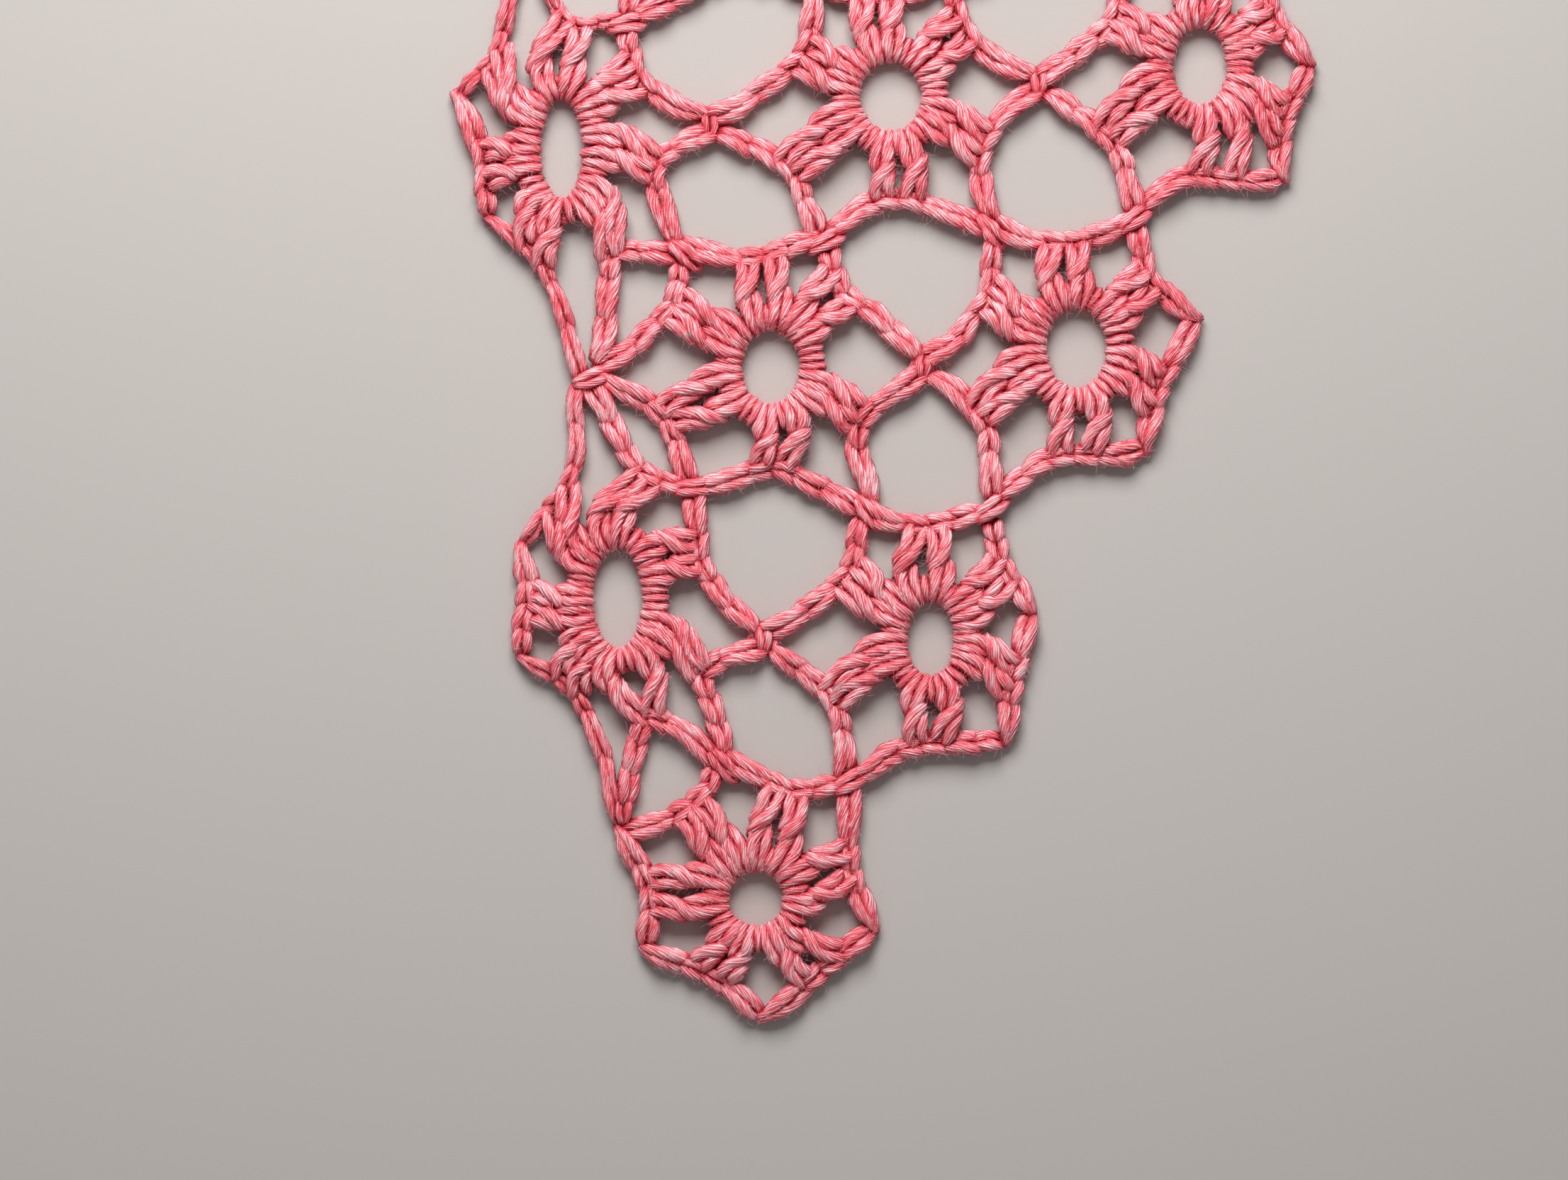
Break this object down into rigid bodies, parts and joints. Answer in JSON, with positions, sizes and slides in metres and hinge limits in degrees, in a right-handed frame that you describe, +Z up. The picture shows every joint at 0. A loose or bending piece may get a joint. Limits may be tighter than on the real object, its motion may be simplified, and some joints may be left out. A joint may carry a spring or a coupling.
{
  "type": "crocheted lace shawl corner",
  "caption": "Pointed corner of an openwork crocheted shawl, laid flat: ringed flower motifs with paired petals, edged by chains and joined by knots at the chains' corners.",
  "frame": {"origin": "the middle of the lace's underside, at the centre of its box on the surface that it lies on", "axes": "+X across the lace to the right, +Y from the pointed tip to the wide top edge, +Z up out of the face that shows"},
  "size_m": [0.148, 0.189, 0.0034],
  "materials": {
    "ring_yarn": "coral cotton-blend yarn of soft low twist, foundation chain wrapped by the petals' stitches, matte with a fine fibre halo",
    "petal_yarn": "coral cotton-blend yarn of soft low twist, double-crochet posts in pairs, matte with a fine fibre halo",
    "chain_yarn": "coral cotton-blend yarn of soft low twist, chain stitches, matte with a fine fibre halo",
    "knot_yarn": "coral cotton-blend yarn of soft low twist, slip-stitch joins, matte with a fine fibre halo"
  },
  "bodies": {
    "root": {"tip_ring": "ring_yarn", "tip_petals": "petal_yarn", "tip_chain": "chain_yarn", "row2_left_ring": "ring_yarn", "row2_left_petals": "petal_yarn", "row2_left_chain": "chain_yarn", "row2_right_ring": "ring_yarn", "row2_right_petals": "petal_yarn", "row2_right_chain": "chain_yarn", "row3_left_ring": "ring_yarn", "row3_left_petals": "petal_yarn", "row3_left_chain": "chain_yarn", "row3_right_ring": "ring_yarn", "row3_right_petals": "petal_yarn", "row3_right_chain": "chain_yarn", "row4_left_ring": "ring_yarn", "row4_left_petals": "petal_yarn", "row4_left_chain": "chain_yarn", "row4_middle_ring": "ring_yarn", "row4_middle_petals": "petal_yarn", "row4_middle_chain": "chain_yarn", "row4_right_ring": "ring_yarn", "row4_right_petals": "petal_yarn", "row4_right_chain": "chain_yarn", "row5_left_ring": "ring_yarn", "row5_left_petals": "petal_yarn", "row5_left_chain": "chain_yarn", "row5_middle_ring": "ring_yarn", "row5_middle_petals": "petal_yarn", "row5_middle_chain": "chain_yarn", "row5_right_ring": "ring_yarn", "row5_right_petals": "petal_yarn", "row5_right_chain": "chain_yarn", "knot_1_2_left": "knot_yarn", "knot_1_2_middle": "knot_yarn", "knot_1_2_right": "knot_yarn", "knot_2_middle": "knot_yarn", "knot_2_3_edge": "knot_yarn", "knot_2_3_left": "knot_yarn", "knot_2_3_middle": "knot_yarn", "knot_2_3_right": "knot_yarn", "knot_3_middle": "knot_yarn", "knot_3_4_left": "knot_yarn", "knot_3_4_middle": "knot_yarn", "knot_3_4_right": "knot_yarn", "knot_3_4_end": "knot_yarn", "knot_4_left": "knot_yarn", "knot_4_right": "knot_yarn", "knot_4_5_edge": "knot_yarn", "knot_4_5_left": "knot_yarn", "knot_4_5_middle": "knot_yarn", "knot_4_5_inner": "knot_yarn", "knot_4_5_right": "knot_yarn", "knot_4_5_end": "knot_yarn", "knot_5_left": "knot_yarn", "knot_5_right": "knot_yarn"}
  },
  "joints": []
}
